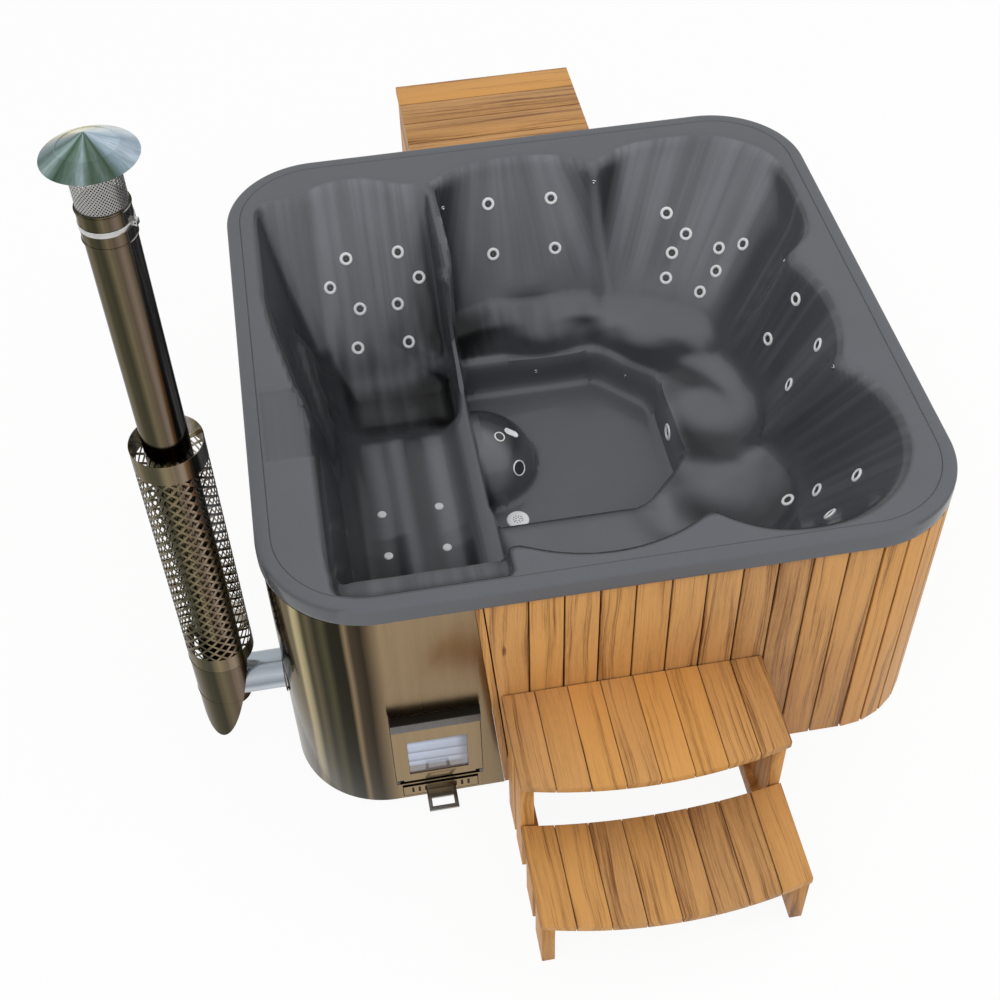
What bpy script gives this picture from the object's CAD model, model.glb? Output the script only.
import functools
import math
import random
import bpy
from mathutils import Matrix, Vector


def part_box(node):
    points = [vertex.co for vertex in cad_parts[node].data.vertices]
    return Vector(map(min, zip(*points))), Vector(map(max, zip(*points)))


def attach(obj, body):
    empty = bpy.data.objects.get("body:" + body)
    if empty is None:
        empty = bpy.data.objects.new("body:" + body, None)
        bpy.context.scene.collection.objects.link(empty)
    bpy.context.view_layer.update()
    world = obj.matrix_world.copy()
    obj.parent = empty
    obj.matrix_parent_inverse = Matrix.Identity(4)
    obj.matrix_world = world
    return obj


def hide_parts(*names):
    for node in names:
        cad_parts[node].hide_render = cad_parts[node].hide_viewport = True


bl_info = {
    "name": "Wood-burning hot tub",
    "version": (1, 0, 0),
    "blender": (4, 5, 0),
    "location": "View3D > Sidebar > Hot tub",
    "description": "Dresses the packed hot tub: moulded shell, boards, steel, flue, steps and stage",
    "category": "Object",
}

import bpy
import numpy as np
from bpy.props import FloatProperty, FloatVectorProperty, IntProperty, PointerProperty
from mathutils import Matrix, Vector

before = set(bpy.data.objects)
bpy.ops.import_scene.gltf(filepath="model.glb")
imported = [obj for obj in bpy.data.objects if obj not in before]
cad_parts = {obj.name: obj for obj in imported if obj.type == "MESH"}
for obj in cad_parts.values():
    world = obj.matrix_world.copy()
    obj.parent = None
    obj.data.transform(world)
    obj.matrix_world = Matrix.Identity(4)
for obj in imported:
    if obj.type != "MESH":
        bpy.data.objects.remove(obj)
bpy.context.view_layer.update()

MM = 0.001
PIPE_LO, PIPE_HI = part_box("flue_pipe")
GUARD_LO, GUARD_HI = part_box("heat_guard")
CAP_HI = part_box("rain_cap")[1]
FLUE = (PIPE_LO + PIPE_HI) / 2
FLUE_FOOT = (FLUE.x, FLUE.y, 0)
CAP_HEIGHT = 0.058
TUB = "tub"


# Sizes and colours

class ShellSizes(bpy.types.PropertyGroup):
    """The moulded basin."""
    seat_blend: FloatProperty(name="Seat blend", description="Softness of the ridges between the seats",
                              default=0.034, min=0.01, max=0.12, unit="LENGTH")
    rim_blend: FloatProperty(name="Rim blend", description="Softness of the inner edge of the deck",
                             default=0.026, min=0.006, max=0.05, unit="LENGTH")
    thickness: FloatProperty(name="Thickness", description="Wall thickness of the basin",
                             default=0.005, min=0.003, max=0.01, unit="LENGTH")
    cell: FloatProperty(name="Cell", description="Edge length of the mesh of the basin",
                        default=0.0105, min=0.006, max=0.03, unit="LENGTH")
    colour: FloatVectorProperty(name="Colour", description="Colour of the acrylic", subtype="COLOR",
                                size=3, default=(0.066, 0.070, 0.077), min=0, max=1)


class BoardSizes(bpy.types.PropertyGroup):
    """All the timber that shows."""
    edge: FloatProperty(name="Edge", description="Radius of the board edges",
                        default=0.0018, min=0.0005, max=0.005, unit="LENGTH")
    light: FloatVectorProperty(name="Light wood", description="Colour between the grain lines",
                               subtype="COLOR", size=3, default=(0.57, 0.30, 0.110), min=0, max=1)
    dark: FloatVectorProperty(name="Dark wood", description="Colour of the grain lines",
                              subtype="COLOR", size=3, default=(0.155, 0.055, 0.020), min=0, max=1)


class FlueSizes(bpy.types.PropertyGroup):
    """Guard, cap and mesh of the flue."""
    columns: IntProperty(name="Columns", description="Diamonds round the heat guard", default=17,
                         min=8, max=40)
    rows: IntProperty(name="Rows", description="Diamonds from bottom to top of the heat guard",
                      default=22, min=8, max=60)
    strand: FloatProperty(name="Strand", description="Width of the strands between the diamonds",
                          default=0.0068, min=0.002, max=0.012, unit="LENGTH")
    sheet: FloatProperty(name="Sheet", description="Thickness of the sheet metal",
                         default=0.0014, min=0.0005, max=0.004, unit="LENGTH")


# Shader helpers

class Value:
    """A shader socket that takes part in Python expressions."""

    def __init__(self, finish, socket):
        self.finish = finish
        self.socket = socket

    def __add__(self, other):
        return self.finish.maths("ADD", self, other)

    def __radd__(self, other):
        return self.finish.maths("ADD", other, self)

    def __sub__(self, other):
        return self.finish.maths("SUBTRACT", self, other)

    def __rsub__(self, other):
        return self.finish.maths("SUBTRACT", other, self)

    def __mul__(self, other):
        return self.finish.maths("MULTIPLY", self, other)

    def __rmul__(self, other):
        return self.finish.maths("MULTIPLY", other, self)

    def __truediv__(self, other):
        return self.finish.maths("DIVIDE", self, other)

    def __pow__(self, other):
        return self.finish.maths("POWER", self, other)


class Finish:
    """One material and the nodes that make it."""

    def __init__(self, name, tree=None):
        self.material = None if tree else bpy.data.materials.new(name)
        if self.material:
            self.material.use_nodes = True
        self.tree = tree or self.material.node_tree
        self.tree.nodes.clear()

    def node(self, kind, settings=None, inputs=None, out=0):
        """Makes a node: its settings first, then the values or links of its sockets."""
        made = self.tree.nodes.new("ShaderNode" + kind)
        for key, value in (settings or {}).items():
            if key == "stops":
                ramp = made.color_ramp
                while len(ramp.elements) < len(value):
                    ramp.elements.new(1.0)
                for element, (place, colour) in zip(ramp.elements, value):
                    element.position = place
                    element.color = (*colour, 1) if len(colour) == 3 else colour
            else:
                setattr(made, key, value)
        for key, value in (inputs or {}).items():
            if isinstance(value, Value):
                self.tree.links.new(value.socket, made.inputs[key])
            elif value is not None:
                made.inputs[key].default_value = value
        return Value(self, made.outputs[out]) if made.outputs else None

    def maths(self, operation, a, b=0.0, c=0.0, clamp=False):
        return self.node("Math", {"operation": operation, "use_clamp": clamp}, {0: a, 1: b, 2: c})

    def seen(self):
        """1 for what the camera sees, straight or in metal and glass; 0 for plain light."""
        straight = self.node("LightPath", out="Is Camera Ray")
        mirrored = self.node("LightPath", out="Is Glossy Ray")
        through = self.node("LightPath", out="Is Transmission Ray")
        return self.maths("MAXIMUM", straight, self.maths("MAXIMUM", mirrored, through))

    def step(self, value, low, high):
        """0 below low, 1 above high, smooth between."""
        return self.node("MapRange", {"interpolation_type": "SMOOTHSTEP"},
                         {0: value, 1: low, 2: high, 3: 0.0, 4: 1.0})

    def span(self, value, low, high, to_low, to_high):
        return self.node("MapRange", {}, {0: value, 1: low, 2: high, 3: to_low, 4: to_high})

    def place(self):
        return self.node("TexCoord", out=3)

    def attribute(self, name, out=1):
        return self.node("Attribute", {"attribute_name": name}, out=out)

    def axes(self, vector):
        made = self.tree.nodes.new("ShaderNodeSeparateXYZ")
        self.tree.links.new(vector.socket, made.inputs[0])
        return [Value(self, made.outputs[i]) for i in range(3)]

    def vector(self, x, y, z):
        return self.node("CombineXYZ", {}, {0: x, 1: y, 2: z})

    def noise(self, vector, scale, detail=3.0, roughness=0.5, distortion=0.0):
        return self.node("TexNoise", {}, {"Vector": vector, "Scale": scale, "Detail": detail,
                                          "Roughness": roughness, "Distortion": distortion})

    def stretch(self, vector, x, y, z):
        return self.node("VectorMath", {"operation": "MULTIPLY"}, {0: vector, 1: (x, y, z)})

    def mix(self, factor, a, b, blend="MIX"):
        """Colour a where factor is 0, b where it is 1."""
        a = (*a, 1) if isinstance(a, tuple) and len(a) == 3 else a
        b = (*b, 1) if isinstance(b, tuple) and len(b) == 3 else b
        return self.node("Mix", {"data_type": "RGBA", "blend_type": blend}, {0: factor, 6: a, 7: b}, out=2)

    def shaded(self, colour, shade):
        """The colour times a number."""
        return self.mix(1.0, colour, self.vector(shade, shade, shade), "MULTIPLY")

    def ramp(self, factor, stops):
        return self.node("ValToRGB", {"stops": stops}, {0: factor})

    def bump(self, height, strength=0.3, distance=0.001, normal=None):
        return self.node("Bump", {}, {"Height": height, "Strength": strength, "Distance": distance,
                                      "Normal": normal})

    def surface(self, **inputs):
        """The closing Principled shader; names use _ for a space."""
        named = {key.replace("_", " "): value for key, value in inputs.items()}
        if isinstance(named.get("Base Color"), tuple):
            named["Base Color"] = (*named["Base Color"][:3], 1)
        shader = self.node("BsdfPrincipled", {}, named)
        self.node("OutputMaterial", {}, {"Surface": shader})
        return self.material


def finish(name):
    """A material made once and used again by name."""
    title = "tub_" + name
    done = bpy.data.materials.get(title)
    if done:
        return done
    if name in BRUSHED:
        return brushed(Finish(title), *BRUSHED[name])
    if name in MOULDED:
        return moulded(Finish(title), **MOULDED[name])
    return FINISHES[name](Finish(title))


def angle_round(f, x, y, centre):
    """0 to 1 round a vertical axis, starting at the back."""
    return f.maths("ARCTAN2", x - centre[0], centre[1] - y) / (2 * math.pi) + 0.5


def scaled(colour, factor):
    return tuple(min(1.0, c * factor) for c in colour)


def acrylic(f):
    colour = tuple(bpy.context.scene.tub_shell.colour)
    place = f.place()
    x, y, z = f.axes(place)
    deck = f.step(z, 0.9655, 0.9695)
    outer = f.step(f.maths("MAXIMUM", f.maths("ABSOLUTE", x) + 0.01, f.maths("ABSOLUTE", y)), 0.985, 0.995)
    satin = f.maths("MAXIMUM", deck, outer)
    sky = f.attribute("sky", 2)
    light = f.attribute("light", 2)
    sweep = f.attribute("sweep", 2)
    # long soft streaks that run down the seat backs
    broad = f.noise(f.vector(sweep * 9.0, z * 0.7, 0.0), 1.0, 2.0)
    narrow = f.noise(f.vector(sweep * 34.0, z * 0.9, 3.0), 1.0, 3.0)
    streak = f.step(0.62 * broad + 0.38 * narrow, 0.40, 0.66)
    back = f.step(z, 0.52, 0.66) * (1.0 - deck) * f.step(f.attribute("streaked", 2), 0.3, 0.9)
    cloud = f.noise(place, 5.0, 3.0)
    speck = f.noise(place, 900.0, 2.0)
    pebble = f.node("TexVoronoi", {"feature": "SMOOTH_F1"},
                    {"Vector": place, "Scale": 330.0, "Smoothness": 0.6})
    fine = f.noise(place, 1500.0, 2.0)
    open_sky = f.step(sky, 0.40, 0.59)
    shade = (0.08 + 0.92 * open_sky) * light
    shade = shade * (0.92 + 0.16 * cloud) * (1.0 + 0.45 * back * (streak - 0.42))
    base = f.shaded(tuple(c * 2.2 for c in colour), shade)
    grain = 0.92 + 0.10 * cloud + 0.14 * (speck - 0.5)
    pale = f.shaded(scaled(colour, 1.85), grain)
    dust = f.step(f.noise(place, 700.0, 3.0, 0.7), 0.52, 0.75)
    pale = f.mix(0.35 * dust, pale, (0.26, 0.27, 0.29))
    height = satin * (0.6 * pebble + 0.4 * fine)
    return f.surface(
        Base_Color=f.mix(satin, base, pale),
        Roughness=f.span(satin, 0.0, 1.0, 0.22, 0.45) + 0.05 * cloud,
        Specular_IOR_Level=0.22,
        Coat_Weight=(1.0 - satin) * 0.25 * shade, Coat_Roughness=0.08,
        Normal=f.bump(height, 0.45, 0.0012))


def oiled_wood(f):
    """Board wood: grain holds across, through and along each board, side runs from -1 to 1 across it."""
    boards = bpy.context.scene.tub_boards
    light, dark = tuple(boards.light), tuple(boards.dark)
    a, b, along = f.axes(f.attribute("grain"))
    board = f.attribute("board", 2)
    side = f.maths("ABSOLUTE", f.attribute("side", 2))
    drift = f.noise(f.vector(a * 1.5, board * 7.0, along * 0.8), 2.6, 2.0)
    across = a + 0.35 * b + 0.045 * (drift - 0.5) + 0.7 * board
    lines = f.noise(f.vector(across, board, along * 0.012), 250.0, 3.0, 0.62)
    bands = f.noise(f.vector(across, board, along * 0.020), 46.0, 2.0, 0.55)
    wash = f.noise(f.vector(across, board, along * 0.12), 14.0, 2.0)
    fibre = f.noise(f.vector(a, b, along * 0.03), 800.0, 3.0, 0.65)
    knot = f.node("TexVoronoi", {"feature": "F1"}, {"Vector": f.vector(a, board * 3.0, along * 0.30),
                                                     "Scale": 5.0, "Randomness": 1.0})
    knot_core = 1.0 - f.step(knot, 0.020, 0.050)
    late = f.step(lines, 0.40, 0.66)
    band = f.step(bands, 0.47, 0.62)
    edge = f.step(side, 0.93, 1.0)
    depth = 0.30 * late * (0.6 + 0.8 * band) + 0.22 * band + 0.95 * (wash - 0.47) + 0.90 * (fibre - 0.5)
    depth = depth + 0.07 + 0.28 * (board - 0.5) + 0.55 * knot_core
    depth = f.maths("ADD", depth, edge * 0.30, clamp=True)
    middle = tuple(0.56 * p + 0.44 * q for p, q in zip(light, dark))
    bright = scaled(light, 1.16)
    colour = f.ramp(depth, [(0.0, bright), (0.26, light), (0.55, middle), (0.95, dark)])
    hue = f.node("HueSaturation", {}, {"Hue": 0.5, "Saturation": f.span(board, 0.0, 1.0, 1.06, 0.98),
                                       "Value": f.span(board, 0.0, 1.0, 1.06, 0.92), "Color": colour})
    height = 0.5 * fibre - 0.35 * late - 0.5 * knot_core
    return f.surface(Base_Color=hue, Roughness=0.55 - 0.14 * late + 0.1 * (fibre - 0.5),
                     Specular_IOR_Level=0.2, Normal=f.bump(height, 0.35, 0.0012))


def frame_wood(f):
    """Plain timber of parts that are out of sight, without board attributes."""
    place = f.place()
    x, y, z = f.axes(place)
    streak = f.noise(f.vector(x * 0.25, y * 1.0, z * 0.25), 60.0, 4.0, 0.6)
    lines = f.noise(f.vector(x * 1.0, y * 0.12, z * 1.0), 45.0, 3.0, 0.6, 0.6)
    colour = f.ramp(0.6 * streak + 0.4 * lines, [(0.25, (0.62, 0.43, 0.24)), (0.5, (0.52, 0.33, 0.16)),
                                                 (0.8, (0.30, 0.16, 0.07))])
    return f.surface(Base_Color=colour, Roughness=0.6 + 0.2 * (streak - 0.5),
                     Normal=f.bump(streak, 0.3, 0.001))


def sheet_wood(f):
    """Film-faced board of the floor panel and the box floor."""
    place = f.place()
    grain = f.noise(f.stretch(place, 1.0, 0.1, 1.0), 70.0, 4.0, 0.65)
    cloud = f.noise(place, 4.0, 2.0)
    colour = f.mix(f.step(0.6 * grain + 0.4 * cloud, 0.35, 0.65), (0.36, 0.22, 0.11), (0.52, 0.35, 0.19))
    return f.surface(Base_Color=colour, Roughness=0.55 + 0.2 * (grain - 0.5),
                     Normal=f.bump(grain, 0.2, 0.0006))


def streaky(f, along, fine, stops, rough=0.2, stripe=0.12):
    """Polished steel: along runs 0 to 1 over the mirrored bands, fine runs down them."""
    bands = f.ramp(along, stops)
    wave = f.noise(f.vector(along * 1.0, fine * 0.02, 0.0), 34.0, 3.0, 0.55)
    hair = f.noise(f.vector(along * 1.0, fine * 0.05, 0.0), 300.0, 2.0, 0.6)
    light = f.span(wave, 0.3, 0.7, 1.0 - stripe, 1.0 + stripe) * f.span(hair, 0.3, 0.7, 0.97, 1.03)
    colour = f.shaded(bands, light)
    scratch = f.noise(f.vector(along * 1.0, fine * 0.004, 0.0), 900.0, 2.0)
    return f.surface(Base_Color=colour, Metallic=1.0, Roughness=rough + 0.06 * (wave - 0.5),
                     Specular_Tint=(0.68, 0.67, 0.66, 1.0), Normal=f.bump(scratch, 0.03, 0.0005))


SOOT = (0.022, 0.020, 0.013)
OLIVE = (0.050, 0.045, 0.024)
UMBER = (0.060, 0.045, 0.030)
KHAKI = (0.150, 0.122, 0.070)
SAND = (0.268, 0.193, 0.112)
CREAM = (0.50, 0.42, 0.24)
SMOKE = (0.10, 0.10, 0.09)
SILVER = (0.50, 0.50, 0.48)


def jacket_steel(f):
    x, y, z = f.axes(f.place())
    # 0 at the rear end of the left side, 0.34 to 0.62 round the corner, 1 at the leaning joint
    girth = f.span(y, -0.70, -0.31, 0.34, 0.0) + f.span(x, -0.99, -0.34, 0.0, 0.62)
    sway = girth + 0.012 * (f.noise(f.vector(x, y, z * 0.6), 3.0, 1.0) - 0.5)
    stops = [(0.0, SMOKE), (0.20, OLIVE), (0.345, KHAKI), (0.375, scaled(KHAKI, 1.2)), (0.394, KHAKI),
             (0.402, CREAM), (0.412, scaled(CREAM, 0.8)), (0.424, OLIVE), (0.438, scaled(KHAKI, 0.8)),
             (0.455, scaled(SOOT, 1.5)), (0.475, scaled(OLIVE, 1.5)), (0.490, SOOT), (0.520, SOOT),
             (0.531, scaled(SAND, 0.9)), (0.543, UMBER), (0.570, scaled(UMBER, 0.6)),
             (0.592, scaled(SAND, 0.55)), (0.620, scaled(SAND, 1.12)), (0.70, scaled(SAND, 1.08)),
             (0.85, scaled(SAND, 1.06)), (0.94, scaled(SAND, 0.78)), (1.0, scaled(SAND, 0.5))]
    return streaky(f, sway, z, stops, f.span(girth, 0.56, 0.64, 0.15, 0.28), 0.07)


def door_steel(f):
    x, _, z = f.axes(f.place())
    girth = f.span(x, -0.99, -0.34, 0.34, 0.96)
    stops = [(0.0, scaled(SAND, 1.2)), (0.80, scaled(SAND, 1.2)), (0.92, scaled(SAND, 0.95)),
             (1.0, scaled(SAND, 0.7))]
    return streaky(f, girth, z, stops, 0.2, 0.05)


def around_flue(f):
    """0 to 1 round the flue, 0.52 towards the camera."""
    x, y, z = f.axes(f.place())
    sway = 0.008 * (f.noise(f.vector(x * 0, y * 0, z), 2.4, 1.0) - 0.5)
    return angle_round(f, x, y, FLUE) + sway, z


def pipe_bands(factor):
    """The mirrored bands round the flue, darker or lighter by a factor."""
    bands = [(0.0, SMOKE), (0.10, SAND), (0.18, SMOKE), (0.27, SOOT), (0.31, OLIVE),
             (0.36, scaled(KHAKI, 0.75)), (0.40, OLIVE), (0.45, scaled(SOOT, 1.8)),
             (0.49, scaled(KHAKI, 0.85)), (0.53, scaled(UMBER, 1.5)), (0.565, (0.17, 0.13, 0.095)),
             (0.592, scaled(UMBER, 1.8)), (0.618, SOOT), (0.640, (0.31, 0.29, 0.27)),
             (0.690, (0.23, 0.22, 0.21)), (0.725, scaled(SOOT, 2.0)), (0.76, SOOT), (0.86, KHAKI),
             (0.94, SILVER), (1.0, SMOKE)]
    return [(place, scaled(colour, factor)) for place, colour in bands]


def pipe_steel(f):
    turn, z = around_flue(f)
    return streaky(f, turn, z, pipe_bands(1.1), 0.14, 0.16)


def guard_steel(f):
    turn, z = around_flue(f)
    return streaky(f, turn, z, pipe_bands(1.7), 0.2, 0.2)


def cap_steel(f):
    x, y, _ = f.axes(f.place())
    turn = angle_round(f, x, y, FLUE)
    reach = f.maths("SQRT", (x - FLUE.x) ** 2.0 + (y - FLUE.y) ** 2.0)
    stops = [(0.0, (0.50, 0.49, 0.30)), (0.09, (0.55, 0.53, 0.36)), (0.14, (0.26, 0.23, 0.14)),
             (0.20, (0.13, 0.19, 0.21)), (0.27, (0.08, 0.13, 0.12)), (0.33, (0.28, 0.37, 0.36)),
             (0.38, (0.05, 0.09, 0.06)), (0.44, (0.14, 0.20, 0.17)), (0.475, (0.26, 0.34, 0.35)),
             (0.51, (0.06, 0.10, 0.06)), (0.55, (0.12, 0.17, 0.15)), (0.585, (0.05, 0.08, 0.05)),
             (0.62, (0.22, 0.30, 0.34)), (0.70, (0.42, 0.50, 0.57)), (0.78, (0.26, 0.34, 0.41)),
             (0.86, (0.48, 0.55, 0.60)), (0.94, (0.40, 0.41, 0.34)), (1.0, (0.50, 0.49, 0.30))]
    fine = f.noise(f.vector(turn * 1.0, reach * 0.4, 0.0), 60.0, 4.0, 0.65)
    light = f.span(fine, 0.3, 0.7, 0.84, 1.44)
    inner = f.step(reach, 0.066, 0.068)
    colour = f.shaded(f.ramp(turn, stops), light * f.span(inner, 0.0, 1.0, 1.0, 0.86))
    return f.surface(Base_Color=colour, Metallic=1.0, Roughness=0.16 + 0.06 * fine)


def branch_steel(f):
    x, y, z = f.axes(f.place())
    band = f.noise(f.vector(x * 0.4, y * 0.0, z), 30.0, 2.0, 0.5)
    level = f.span(z, 0.30, 0.44, 0.0, 1.0)
    stops = [(0.0, SOOT), (0.14, (0.26, 0.22, 0.14)), (0.30, (0.36, 0.40, 0.44)),
             (0.45, (0.52, 0.56, 0.60)), (0.58, (0.24, 0.27, 0.31)), (0.74, (0.44, 0.48, 0.52)),
             (0.86, (0.28, 0.32, 0.36)), (1.0, (0.44, 0.48, 0.52))]
    colour = f.ramp(level + 0.06 * (band - 0.5), stops)
    return f.surface(Base_Color=colour, Metallic=1.0, Roughness=0.2 + 0.1 * (band - 0.5))


def brushed(f, colour, rough=0.34, scale=500.0, axis=(0.05, 1.0, 1.0)):
    place = f.place()
    hair = f.noise(f.stretch(place, *axis), scale, 3.0, 0.6)
    cloud = f.noise(place, 12.0, 2.0)
    shade = f.span(hair, 0.25, 0.75, 0.78, 1.2) * f.span(cloud, 0.3, 0.7, 0.9, 1.1)
    return f.surface(Base_Color=f.shaded(colour, shade), Metallic=1.0,
                     Roughness=rough + 0.12 * (hair - 0.5),
                     Normal=f.bump(hair, 0.08, 0.0004))


def grip_steel(f):
    """Grainy grey front under a black top."""
    z = f.axes(f.place())[2]
    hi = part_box("grip_bar")[1]
    grit = f.noise(f.place(), 420.0, 3.0, 0.6)
    top = f.step(z, hi.z - 0.005, hi.z - 0.002)
    grey = f.span(grit, 0.3, 0.7, 0.09, 0.20)
    tone = f.mix(top, f.vector(grey, grey * 0.96, grey * 0.90), (0.016, 0.014, 0.012))
    return f.surface(Base_Color=tone, Metallic=0.7, Roughness=0.45 + 0.1 * (grit - 0.5))


def galvanised(f):
    place = f.place()
    spangle = f.node("TexVoronoi", {"feature": "F1"}, {"Vector": place, "Scale": 70.0}, out=1)
    grey = f.node("SeparateColor", {}, {0: spangle})
    shade = f.span(grey, 0.0, 1.0, 0.34, 0.60)
    return f.surface(Base_Color=f.vector(shade, shade, shade * 1.03), Metallic=0.9,
                     Roughness=f.span(grey, 0.0, 1.0, 0.32, 0.5))


def black_iron(f):
    place = f.place()
    grit = f.noise(place, 260.0, 4.0, 0.65)
    rust = f.step(f.noise(place, 9.0, 4.0, 0.7), 0.55, 0.72)
    iron = f.mix(grit, (0.018, 0.017, 0.016), (0.055, 0.052, 0.049))
    tone = f.mix(0.5 * rust, iron, (0.17, 0.075, 0.035))
    return f.surface(Base_Color=tone, Metallic=0.55, Roughness=0.6 + 0.2 * (grit - 0.5),
                     Normal=f.bump(grit, 0.35, 0.001))


def door_window(f):
    """Glass that shows bright slats behind it."""
    x, _, z = f.axes(f.place())
    lo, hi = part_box("door_glass")
    t = f.span(z + (x - lo.x) * 0.02, lo.z + 0.008, hi.z - 0.008, 0.0, 1.0)
    stops = [(0.0, (0.10, 0.09, 0.10)), (0.15, (0.19, 0.16, 0.17)), (0.23, (0.20, 0.19, 0.22)),
             (0.27, (0.40, 0.47, 0.62)), (0.36, (0.56, 0.64, 0.82)), (0.40, (0.22, 0.26, 0.35)),
             (0.46, (0.46, 0.54, 0.70)),
             (0.62, (0.58, 0.66, 0.84)), (0.66, (0.27, 0.31, 0.41)), (0.72, (0.48, 0.56, 0.72)),
             (0.90, (0.58, 0.66, 0.84)), (0.97, (0.34, 0.38, 0.48)), (1.0, (0.2, 0.22, 0.28))]
    soft = f.noise(f.vector(x * 0.5, 0.0, z * 3.0), 16.0, 2.0)
    right = f.step(x, hi.x - 0.045, hi.x - 0.012)
    tone = f.mix(right * 0.75, f.ramp(t + 0.03 * (soft - 0.5), stops), (0.16, 0.18, 0.25))
    return f.surface(Base_Color=tone, Roughness=0.08, Coat_Weight=0.6, Coat_Roughness=0.03,
                     Specular_IOR_Level=0.6)


def moulded(f, dark, pale, cloud, rough, sway, grit=None, bump=None, rough_by_grit=False, **more):
    """Plastic or paint in two close colours; cloud and grit are the scale and detail of their noise."""
    place = f.place()
    clouds = f.noise(place, *cloud)
    fine = f.noise(place, *grit) if grit else clouds
    if bump:
        more["Normal"] = f.bump(fine, *bump)
    return f.surface(Base_Color=f.mix(clouds, dark, pale),
                     Roughness=rough + sway * (fine if rough_by_grit else clouds), **more)


def chrome(f):
    cloud = f.noise(f.place(), 60.0, 2.0)
    tone = f.mix(f.step(cloud, 0.4, 0.6), (0.66, 0.67, 0.69), (0.44, 0.45, 0.47))
    return f.surface(Base_Color=tone, Metallic=1.0, Roughness=0.10 + 0.05 * cloud)


# Colour, roughness, scale of the hairlines and their stretch
BRUSHED = {
    "plate_steel": ((0.33, 0.325, 0.31), 0.30),
    "bright_steel": ((0.52, 0.52, 0.51), 0.22, 300.0),
    "mesh_steel": ((0.40, 0.395, 0.38), 0.35, 700.0, (1.0, 1.0, 1.0)),
    "brass": ((0.62, 0.43, 0.17), 0.3, 260.0, (1.0, 1.0, 1.0)),
}
# Dark and pale colour, cloud, roughness and its sway, then grit and bump
MOULDED = {
    "jet_face": dict(dark=(0.80, 0.81, 0.83), pale=(0.92, 0.93, 0.94), cloud=(90.0, 2.0), rough=0.22,
                     sway=0.08, grit=(800.0, 2.0), bump=(0.03, 0.0003), Coat_Weight=0.3),
    "jet_dark": dict(dark=(0.022, 0.023, 0.026), pale=(0.055, 0.057, 0.062), cloud=(120.0, 2.0), rough=0.28,
                     sway=0.1),
    "leg_disc": dict(dark=(0.50, 0.51, 0.53), pale=(0.66, 0.67, 0.68), cloud=(70.0, 2.0), rough=0.34,
                     sway=0.08, grit=(500.0, 2.0), bump=(0.04, 0.0004)),
    "white_pipe": dict(dark=(0.70, 0.70, 0.68), pale=(0.82, 0.82, 0.81), cloud=(14.0, 3.0), rough=0.29,
                       sway=0.1, grit=(350.0, 2.0), bump=(0.05, 0.0004)),
    "grey_plastic": dict(dark=(0.46, 0.47, 0.48), pale=(0.58, 0.59, 0.60), cloud=(20.0, 2.0), rough=0.37,
                         sway=0.1, grit=(600.0, 2.0), bump=(0.15, 0.0005), rough_by_grit=True),
    "dark_plastic": dict(dark=(0.022, 0.023, 0.025), pale=(0.055, 0.057, 0.06), cloud=(18.0, 2.0),
                         rough=0.375, sway=0.15, grit=(500.0, 3.0), bump=(0.2, 0.0006), rough_by_grit=True),
    "motor_paint": dict(dark=(0.045, 0.060, 0.085), pale=(0.075, 0.095, 0.125), cloud=(12.0, 2.0),
                        rough=0.36, sway=0.1, grit=(240.0, 2.0), bump=(0.12, 0.0005), Metallic=0.2),
    "lever_red": dict(dark=(0.36, 0.028, 0.020), pale=(0.52, 0.045, 0.030), cloud=(80.0, 3.0), rough=0.38,
                      sway=0.1, bump=(0.1, 0.0004)),
}
FINISHES = {maker.__name__: maker for maker in (
    acrylic, oiled_wood, frame_wood, sheet_wood, jacket_steel, door_steel, pipe_steel, cap_steel,
    branch_steel, guard_steel, grip_steel, chrome, galvanised, black_iron, door_window)}


# Mesh helpers

def only(obj):
    bpy.ops.object.select_all(action="DESELECT")
    obj.select_set(True)
    bpy.context.view_layer.objects.active = obj
    return obj


def linked(name, data):
    obj = bpy.data.objects.new(name, data)
    bpy.context.scene.collection.objects.link(obj)
    return obj


def made(name):
    """The primitive just added, under its own name."""
    obj = bpy.context.active_object
    obj.name = name
    obj.data.name = name
    return obj


def settle(obj):
    """Puts the object's place into its mesh."""
    only(obj)
    bpy.ops.object.transform_apply(location=True, rotation=True, scale=True)
    return obj


def outward(obj, apart=0.00001):
    """Merges points closer than apart and turns every face outwards."""
    only(obj)
    bpy.ops.object.mode_set(mode="EDIT")
    bpy.ops.mesh.select_all(action="SELECT")
    bpy.ops.mesh.remove_doubles(threshold=apart)
    bpy.ops.mesh.normals_make_consistent(inside=False)
    bpy.ops.object.mode_set(mode="OBJECT")
    return obj


def apply_modifiers(obj):
    only(obj)
    for modifier in list(obj.modifiers):
        bpy.ops.object.modifier_apply(modifier=modifier.name)
    return obj


def bevelled(obj, width, segments=2, angle=35.0):
    modifier = obj.modifiers.new("edges", "BEVEL")
    modifier.width = width
    modifier.segments = segments
    modifier.limit_method = "ANGLE"
    modifier.angle_limit = math.radians(angle)
    modifier.harden_normals = False
    return apply_modifiers(obj)


def smooth(obj, angle=35.0):
    only(obj)
    bpy.ops.object.shade_smooth_by_angle(angle=math.radians(angle))
    return obj


def dress(obj, material, body, nodes=()):
    """Gives a finished piece its material, its body and the nodes that it stands for."""
    obj.data.materials.clear()
    obj.data.materials.append(finish(material))
    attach(obj, body)
    if nodes:
        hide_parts(*nodes)
    return obj


def joined(name, parts):
    bpy.ops.object.select_all(action="DESELECT")
    for part in parts:
        part.select_set(True)
    bpy.context.view_layer.objects.active = parts[0]
    if len(parts) > 1:
        bpy.ops.object.join()
    return made(name)


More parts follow.
